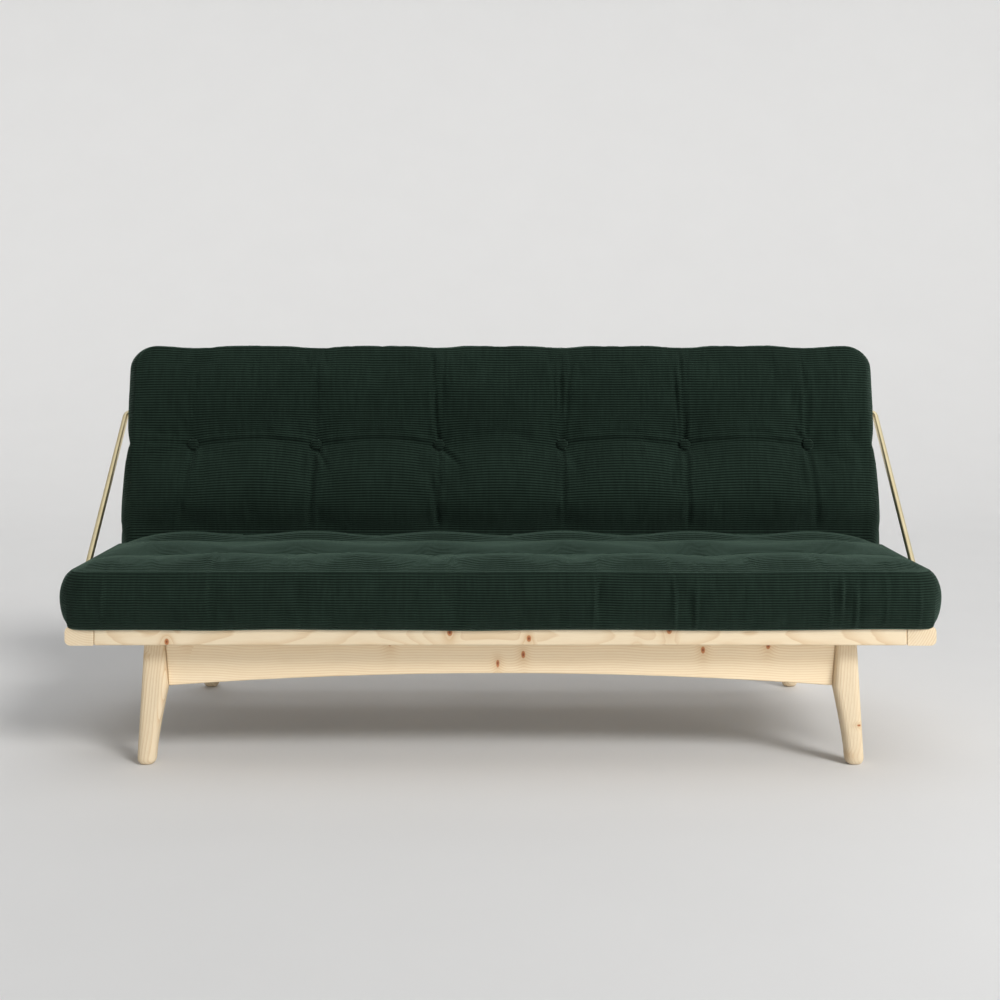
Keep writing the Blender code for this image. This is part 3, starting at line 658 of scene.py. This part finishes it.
def surface_at(u, from_end, on_back):
    """Point and outward direction of the top panel at a place."""
    rows = np.nonzero(PROFILE["on_back"] == on_back)[0]
    row = rows[np.abs(PROFILE["from_end"][rows] - from_end).argmin()]
    side = np.array([u])
    relief = back_relief if on_back else seat_relief
    lift = relief(side, np.array([from_end]))[0]
    spot = PROFILE["top"][row] + PROFILE["normal"][row] * lift
    return Vector((u, spot[0], spot[1])), Vector((0, *PROFILE["normal"][row]))


# ---------------------------------------------------------------- buttons


def make_button(name, place, direction, material, turn):
    """A cloth-covered button: a domed cap with a tucked rim, slightly uneven."""
    bm = bmesh.new()
    profile = []
    for ring in range(BUTTON_RINGS):
        share = ring / (BUTTON_RINGS - 1)
        angle = share * BUTTON_ARC
        tuck = 1 - BUTTON_TUCK * max(0, share - BUTTON_TUCK_FROM) / (1 - BUTTON_TUCK_FROM)
        out = BUTTON_RADIUS * math.sin(min(angle, QUARTER)) * tuck
        depth = 1 if angle < QUARTER else BUTTON_TUCK_DROP
        profile.append((out, BUTTON_DOME * math.cos(angle) * depth))
    centre = bm.verts.new((0, 0, BUTTON_DOME - BUTTON_FLAT))
    loops = []
    for out, up in profile[1:]:
        loop = []
        for side in range(BUTTON_SIDES):
            angle = math.tau * side / BUTTON_SIDES
            reach = out * (1 + BUTTON_UNEVEN * math.cos(BUTTON_PLEATS * angle + turn))
            loop.append(bm.verts.new((reach * math.cos(angle), reach * math.sin(angle), up)))
        loops.append(loop)
    for side in range(BUTTON_SIDES):
        after = (side + 1) % BUTTON_SIDES
        bm.faces.new((centre, loops[0][side], loops[0][after]))
        for low, high in zip(loops, loops[1:]):
            bm.faces.new((low[side], high[side], high[after], low[after]))
    bm.faces.new([loops[-1][side] for side in reversed(range(BUTTON_SIDES))])
    layer = bm.loops.layers.uv.new("cloth")
    for face in bm.faces:
        for corner in face.loops:
            corner[layer].uv = (corner.vert.co.x, corner.vert.co.y)
    mesh = bpy.data.meshes.new(name)
    bm.to_mesh(mesh)
    bm.free()
    mesh.materials.append(material)
    mesh.shade_smooth()
    obj = bpy.data.objects.new(name, mesh)
    SCENE.collection.objects.link(obj)
    across = Vector((1, 0, 0))
    up = direction.normalized()
    basis = Matrix((across, up.cross(across), up)).transposed().to_4x4()
    obj.matrix_world = Matrix.Translation(place) @ basis
    return obj


# ---------------------------------------------------------------- materials


class Nodes:
    """A material's nodes, made and joined with short calls."""

    def __init__(self, name):
        self.material = bpy.data.materials.new(name)
        self.material.use_nodes = True
        self.tree = self.material.node_tree
        self.shader = self.tree.nodes["Principled BSDF"]

    def put(self, kind, values=None, **settings):
        node = self.tree.nodes.new("ShaderNode" + kind)
        for key, value in settings.items():
            setattr(node, key, value)
        for socket, value in (values or {}).items():
            self.feed(node.inputs[socket], value)
        return node

    def feed(self, socket, value):
        if isinstance(value, bpy.types.NodeSocket):
            self.tree.links.new(value, socket)
        else:
            socket.default_value = value

    def math(self, operation, first, second=0.0, clamp=False):
        node = self.put("Math", {0: first, 1: second}, operation=operation)
        node.use_clamp = clamp
        return node.outputs[0]

    def mix(self, share, first, second, blend="MIX"):
        node = self.put("Mix", data_type="RGBA", blend_type=blend)
        self.feed(node.inputs["Factor"], share)
        self.feed(node.inputs[6], first)
        self.feed(node.inputs[7], second)
        return node.outputs[2]

    def ramp(self, value, *stops):
        node = self.put("ValToRGB", {0: value})
        elements = node.color_ramp.elements
        while len(elements) < len(stops):
            elements.new(0.5)
        for element, (place, colour) in zip(elements, stops):
            element.position = place
            element.color = (*colour, 1)
        return node.outputs[0]

    def noise(self, vector, scale, detail=2.0, roughness=0.5):
        values = {"Vector": vector, "Scale": scale, "Detail": detail, "Roughness": roughness}
        return self.put("TexNoise", values).outputs[0]

    def stretch(self, vector, scale, location=(0, 0, 0), rotation=(0, 0, 0)):
        values = {"Vector": vector, "Location": location, "Rotation": rotation, "Scale": scale}
        return self.put("Mapping", values).outputs[0]

    def split(self, vector):
        return self.put("SeparateXYZ", {0: vector}).outputs

    def bump(self, height, distance, strength):
        values = {"Height": height, "Distance": distance, "Strength": strength}
        return self.put("Bump", values).outputs[0]

    def finish(self, **values):
        """Sets the shader's sockets: numbers and colours directly, node outputs by a link."""
        for socket, value in values.items():
            self.feed(self.shader.inputs[socket.replace("_", " ")], value)
        return self.material


GREEN = (0.0140, 0.0282, 0.0196)
# painted shade: the near-black colour put into the grooves between the ribs
GREEN_GROOVE_SHADE = (0.0010, 0.0024, 0.0016)
GREEN_PILE = (0.0220, 0.0398, 0.0292)


def corduroy(name, wale=WALE, painted_dimming=1.0):
    """Dark green corduroy: round ribs with painted shade in the grooves, uneven pile and a soft
    sheen. The last argument darkens the whole cloth as painted shade; the buttons use it.
    """
    n = Nodes(name)
    cloth = n.put("UVMap", uv_map="cloth").outputs[0]
    wander = n.noise(n.stretch(cloth, (3.0, 14.0, 1.0)), 1.0, 2.0)
    along = n.split(cloth)
    drift = n.math("MULTIPLY", n.math("SUBTRACT", wander, 0.5), wale * 0.30)
    place = n.math("ADD", along[1], drift)
    phase = n.math("MULTIPLY", place, math.pi / wale)
    rib = n.math("ABSOLUTE", n.math("SINE", phase))
    round_rib = n.math("POWER", rib, 0.6)
    pile = n.noise(n.stretch(cloth, (260.0, 900.0, 1.0)), 1.0, 3.0, 0.6)
    streak = n.noise(n.stretch(cloth, (150.0, 14.0, 1.0)), 1.0, 3.0, 0.6)
    patch = n.noise(cloth, 6.0, 3.0)
    # painted shade: the grooves between the ribs are coloured near black, the rib tops keep the
    # green
    base = n.mix(n.math("POWER", rib, 1.5), (*GREEN_GROOVE_SHADE, 1), (*GREEN, 1))
    shade = n.math("ADD", n.math("MULTIPLY", streak, 0.8), n.math("MULTIPLY", pile, 0.6))
    tufted = n.math("MULTIPLY", n.math("SUBTRACT", shade, 0.40, True), rib)
    lit = n.mix(tufted, base, (*GREEN_PILE, 1))
    tone = n.ramp(patch, (0.3, (0.88, 0.88, 0.88)), (0.7, (1.06, 1.06, 1.06)))
    # the last argument scales the whole cloth down here, as painted shade for the buttons
    brushed = n.ramp(streak, (0.36, (0.92 * painted_dimming,) * 3), (0.64, (1.10 * painted_dimming,) * 3))
    colour = n.mix(1.0, n.mix(1.0, lit, tone, "MULTIPLY"), brushed, "MULTIPLY")
    fuzz = n.math("ADD", n.math("MULTIPLY", pile, 0.16), round_rib)
    return n.finish(
        Base_Color=colour,
        Roughness=0.92,
        Specular_IOR_Level=0.08,
        Sheen_Weight=0.31,
        Sheen_Roughness=0.32,
        Sheen_Tint=(0.42, 0.66, 0.52, 1),
        Normal=n.bump(fuzz, 0.0018, 0.9),
    )


PINE_LIGHT = (0.870, 0.745, 0.545)
PINE_WARM = (0.800, 0.645, 0.430)
PINE_LATE = (0.580, 0.350, 0.150)
KNOT_CORE = (0.215, 0.060, 0.025)
KNOT_RIM = (0.500, 0.200, 0.075)
RINGS_PER_METRE = 190.0
KNOTS_PER_METRE = 13.0
# Darkness through one growth ring
LATE_WOOD = ((0.0, 0.0), (0.45, 0.12), (0.82, 0.75), (0.93, 1.0), (1.0, 0.0))


def pine(name, centre, turn, pith, shift, bend, tone):
    """Pale pine with growth rings, fibres and knots.

    X is the grain after the turn. The middle of the rings lies at the pith beside the board's
    own middle, and wanders by the bend. Knots are branches from the pith.
    """
    n = Nodes(name)
    raw = n.put("TexCoord").outputs["Object"]
    middle = n.stretch(raw, (1, 1, 1), tuple(-value for value in centre))
    place = n.stretch(n.stretch(middle, (1, 1, 1), (0, 0, 0), turn), (1, 1, 1), (shift, 0, 0))
    along, side, deep = n.split(place)
    sway = n.math("SUBTRACT", n.noise(n.stretch(place, (2.2, 0.0, 0.0)), 1.0, 2.0), 0.5)
    weave = n.math("SUBTRACT", n.noise(n.stretch(place, (4.5, 22.0, 22.0)), 1.0, 2.0), 0.5)
    side = n.math("ADD", side, n.math("MULTIPLY", weave, 0.008))
    side = n.math("ADD", side, n.math("MULTIPLY", sway, bend))
    side = n.math("SUBTRACT", side, pith[0])
    deep = n.math("ADD", deep, n.math("MULTIPLY", sway, 0.35 * bend))
    deep = n.math("SUBTRACT", deep, pith[1])
    square = n.math("ADD", n.math("MULTIPLY", side, side), n.math("MULTIPLY", deep, deep))
    far = n.math("SQRT", square)
    heading = n.math("ARCTAN2", side, deep)
    around = n.math("MULTIPLY", heading, math.hypot(*pith))
    flat = n.put("CombineXYZ", {0: along, 1: around}).outputs[0]
    cells = {"Vector": flat, "Scale": KNOTS_PER_METRE}
    cells = n.put("TexVoronoi", cells, voronoi_dimensions="2D")
    gap = n.math("DIVIDE", cells.outputs["Distance"], KNOTS_PER_METRE)
    lot = n.split(cells.outputs["Color"])
    chosen = n.math("GREATER_THAN", lot[0], 0.60)
    size = n.math("ADD", n.math("MULTIPLY", lot[1], 0.0050), 0.0020)
    ratio = n.math("DIVIDE", gap, size)
    swirl = n.math("EXPONENT", n.math("MULTIPLY", n.math("MULTIPLY", ratio, ratio), -0.10))
    swirl = n.math("MULTIPLY", swirl, chosen)
    far = n.math("ADD", far, n.math("MULTIPLY", swirl, 0.008))
    ring = n.math("FRACT", n.math("MULTIPLY", far, RINGS_PER_METRE))
    late = n.ramp(ring, *((place, (dark,) * 3) for place, dark in LATE_WOOD))
    fibre = n.noise(n.stretch(place, (18.0, 700.0, 700.0)), 1.0, 4.0, 0.65)
    streak = n.noise(n.stretch(place, (1.6, 60.0, 60.0)), 1.0, 3.0, 0.55)
    broad = n.noise(n.stretch(place, (1.4, 9.0, 9.0)), 1.0, 2.0)
    base = n.mix(n.math("MULTIPLY", streak, 0.9), (*PINE_LIGHT, 1), (*PINE_WARM, 1))
    strength = n.math("ADD", n.math("MULTIPLY", broad, 0.70), 0.05)
    ringed = n.mix(n.math("MULTIPLY", late, strength), base, (*PINE_LATE, 1))
    pores = n.math("MULTIPLY", n.math("SUBTRACT", fibre, 0.50, True), 0.9)
    fibred = n.mix(pores, ringed, (*PINE_LATE, 1))
    haloed = n.mix(n.math("MULTIPLY", swirl, 0.42), fibred, (*PINE_LATE, 1))
    rim = n.math("MULTIPLY", n.math("SUBTRACT", 1.15, ratio, True), chosen)
    rim = n.math("MULTIPLY", rim, 4.0, True)
    core = n.math("MULTIPLY", n.math("SUBTRACT", 0.60, ratio, True), chosen)
    core = n.math("MULTIPLY", core, 3.0, True)
    knot = n.mix(core, n.mix(rim, haloed, (*KNOT_RIM, 1)), (*KNOT_CORE, 1))
    # tone lightens or darkens the whole board; for the apron and the legs this is painted light and
    # painted shade
    shade = n.ramp(broad, (0.25, (0.95 * tone,) * 3), (0.75, (1.04 * tone,) * 3))
    grain = n.math("SUBTRACT", n.math("MULTIPLY", fibre, 0.6), n.math("MULTIPLY", late, 0.4))
    return n.finish(
        Base_Color=n.mix(1.0, knot, shade, "MULTIPLY"),
        Roughness=n.math("ADD", n.math("MULTIPLY", fibre, 0.14), 0.42),
        Specular_IOR_Level=0.32,
        Normal=n.bump(grain, 0.0004, 0.35),
    )


def brass(name):
    """Satin brass with fine brushing and slightly darker, browner patches."""
    n = Nodes(name)
    place = n.put("TexCoord").outputs["Object"]
    lines = n.noise(n.stretch(place, (2200.0, 40.0, 40.0)), 1.0, 3.0)
    tarnish = n.noise(place, 14.0, 4.0, 0.6)
    colour = n.ramp(tarnish, (0.30, (0.74, 0.62, 0.36)), (0.72, (0.88, 0.78, 0.52)))
    return n.finish(
        Base_Color=colour,
        Metallic=1.0,
        Roughness=n.math("ADD", n.math("MULTIPLY", tarnish, 0.16), 0.30),
        Normal=n.bump(lines, 0.0001, 0.25),
    )


def steel(name):
    """Zinc-plated steel with a faint crystal pattern."""
    n = Nodes(name)
    place = n.put("TexCoord").outputs["Object"]
    grain = n.noise(place, 320.0, 3.0, 0.6)
    cloud = n.noise(place, 30.0, 3.0)
    colour = n.ramp(cloud, (0.3, (0.46, 0.47, 0.49)), (0.7, (0.62, 0.63, 0.64)))
    return n.finish(
        Base_Color=colour,
        Metallic=1.0,
        Roughness=n.math("ADD", n.math("MULTIPLY", grain, 0.2), 0.28),
        Normal=n.bump(grain, 0.0001, 0.2),
    )


# Turn that brings a board's grain onto X, by how the node's name starts
GRAIN_TURNS = {
    "seat_slat": (0, 0, -QUARTER),
    "seat_runner": (0, 0, -QUARTER),
    "seat_guide": (0, 0, -QUARTER),
    "bearer": (0, 0, -QUARTER),
    "seat_rail_left": (0, 0, -QUARTER),
    "seat_rail_right": (0, 0, -QUARTER),
    "back_slat": (-FOLD_ANGLE, 0, -QUARTER),
    "back_rail_left": (-FOLD_ANGLE, 0, -QUARTER),
    "back_rail_right": (-FOLD_ANGLE, 0, -QUARTER),
    "leg_front": (0, QUARTER, 0),
    "leg_rear": (0, QUARTER, 0),
}
# Middle of the rings beside the board's middle, for boards whose front shows most
PITHS = {
    "seat_rail_front": (0.062, 0.010),
    "apron_front": (0.060, 0.150),
    "apron_rear": (0.050, -0.120),
    "leg_front": (0.020, 0.055),
}
# How far the middle of the rings wanders along the board
BENDS = {"seat_rail_front": 0.085, "apron_front": 0.060, "leg_": 0.020}
# How light each board is beside the others: the apron's raised value is painted light against the
# shade under the rail's overhang, the legs' lowered value is painted shade against the strong light
# on them, the rest is plain tone
BOARD_TONES_AND_PAINTED_LIGHT = {"seat_rail_front": 0.96, "apron_front": 1.10, "leg_": 0.91}


def lookup(table, name, fallback):
    return next((value for start, value in table.items() if name.startswith(start)), fallback)


def dress_wood():
    """Gives each wooden node its own piece of pine, with the grain along the board."""
    metal = ("stay_", "hinge_", "leg_bolt", "mattress")
    wooden = [name for name in sorted(NODES) if not name.startswith(metal)]
    for number, name in enumerate(wooden):
        low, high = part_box(name)
        centre = [(a + b) / 2 for a, b in zip(low, high)]
        heading = 2.4 * number
        reach = 0.050 + 0.012 * (number % 5)
        pith = (reach * math.cos(heading), reach * math.sin(heading))
        turn = lookup(GRAIN_TURNS, name, (0, 0, 0))
        pith = lookup(PITHS, name, pith)
        bend = lookup(BENDS, name, 0.030)
        tone = lookup(BOARD_TONES_AND_PAINTED_LIGHT, name, 0.96)
        paint(NODES[name], pine(f"pine_{name}", centre, turn, pith, 1.37 * number, bend, tone))


def paint(node, material):
    node.data.materials.clear()
    node.data.materials.append(material)


# ---------------------------------------------------------------- stage


SURROUND = 0.27  # brightness
CAMERA_DISTANCE = 3.268  # from the front of the seat rail
CAMERA_HEIGHT = 0.933
SWEEP_REACH = 60.0
SWEEP_START = 3.5  # where the floor begins to curve up behind the sofa
SWEEP_ROUND = 4.5
SWEEP_STEPS = 24
SWEEP_HEIGHT = 9.0


# Name, direction towards it, strength, width in degrees and colour
SUNS = (
    ("key", (0.56, -0.66, 0.66), 1.70, 20.0, (1.0, 0.985, 0.96)),
    ("front", (0.10, -1.0, 0.04), 0.72, 30.0, (1, 1, 1)),
    ("over", (0.10, 0.15, 1.0), 0.50, 50.0, (1, 1, 1)),
)


def soft_sun(name, toward, strength, spread, colour):
    """Even light from a wide part of the surround."""
    light = bpy.data.lights.new(name, "SUN")
    light.energy = strength
    light.angle = math.radians(spread)
    light.color = colour
    obj = bpy.data.objects.new(name, light)
    obj.rotation_euler = Vector(toward).to_track_quat("Z", "Y").to_euler()
    SCENE.collection.objects.link(obj)


def make_stage():
    """A pale floor that curves up behind the sofa, a pale surround, soft lights and the camera."""
    floor_mesh = bpy.data.meshes.new("floor")
    outline = [(-SWEEP_REACH, 0.0)]
    for step in range(SWEEP_STEPS + 1):
        turn = QUARTER * step / SWEEP_STEPS
        rise = SWEEP_ROUND * (1 - math.cos(turn))
        outline.append((SWEEP_START + SWEEP_ROUND * math.sin(turn), rise))
    outline.append((SWEEP_START + SWEEP_ROUND, SWEEP_HEIGHT))
    corners = [(side * SWEEP_REACH, y, z) for y, z in outline for side in (-1, 1)]
    strips = [(2 * row, 2 * row + 1, 2 * row + 3, 2 * row + 2) for row in range(len(outline) - 1)]
    floor_mesh.from_pydata(corners, [], strips)
    floor_mesh.shade_smooth()
    floor = bpy.data.objects.new("floor", floor_mesh)
    n = Nodes("floor_paint")
    speck = n.noise(n.put("TexCoord").outputs["Object"], 3.0, 3.0)
    tone = n.ramp(speck, (0.3, (0.725,) * 3), (0.7, (0.735,) * 3))
    floor_mesh.materials.append(n.finish(Base_Color=tone, Roughness=0.75))
    SCENE.collection.objects.link(floor)
    world = bpy.data.worlds.new("surround")
    world.use_nodes = True
    background = world.node_tree.nodes["Background"].inputs
    background["Color"].default_value = (0.99, 1.0, 1.01, 1)
    background["Strength"].default_value = SURROUND
    SCENE.world = world
    SCENE.view_settings.view_transform = "Standard"
    for name, toward, strength, spread, colour in SUNS:
        soft_sun(name, toward, strength, spread, colour)
    side = bpy.data.lights.new("side", "AREA")
    side.shape = "RECTANGLE"
    side.size, side.size_y = 1.2, 1.6
    side.energy = 26.0
    lamp = bpy.data.objects.new("side", side)
    lamp.location = (2.6, -1.9, 1.3)
    lamp.rotation_euler = (lamp.location - Vector((0.3, 0, 0.4))).to_track_quat("Z", "Y").to_euler()
    SCENE.collection.objects.link(lamp)
    camera = bpy.data.cameras.new("camera")
    camera.lens = 54.0
    camera.sensor_width = 36.0
    camera.shift_y = -0.16
    camera.shift_x = -0.0005
    obj = bpy.data.objects.new("camera", camera)
    obj.location = (0, RAIL_FRONT - CAMERA_DISTANCE, CAMERA_HEIGHT)
    obj.rotation_euler = (math.pi / 2, 0, 0)
    SCENE.collection.objects.link(obj)
    SCENE.camera = obj


# ---------------------------------------------------------------- the pieces

make_stage()
CORDUROY = corduroy("green_corduroy_cloth")
mattress, us, lattice = make_mattress(CORDUROY)
settle(mattress, us, lattice)
crinkle(mattress, us, lattice)
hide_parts("mattress_seat", "mattress_back")
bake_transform(mattress)

# the buttons get a darker copy of the same cloth, as painted shade
BUTTON_CLOTH = corduroy("green_corduroy_button_painted_shade", BUTTON_WALE, BUTTON_PAINTED_SHADE)
for half, on_back in (("seat", False), ("back", True)):
    for number, column in enumerate(COLUMNS[on_back], 1):
        spot, outward = surface_at(column, ROW_FROM_END[on_back], on_back)
        button = make_button(
            f"button_{half}_{number}", spot + outward * BUTTON_PROUD, outward, BUTTON_CLOTH, number
        )
        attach(button, half)

dress_wood()
BRASS = brass("satin_brass_bar")
STEEL = steel("zinc_steel_plate")
for name, node in NODES.items():
    if name.startswith("stay_"):
        paint(node, BRASS)
    elif name.startswith(("hinge_", "leg_bolt")):
        paint(node, STEEL)
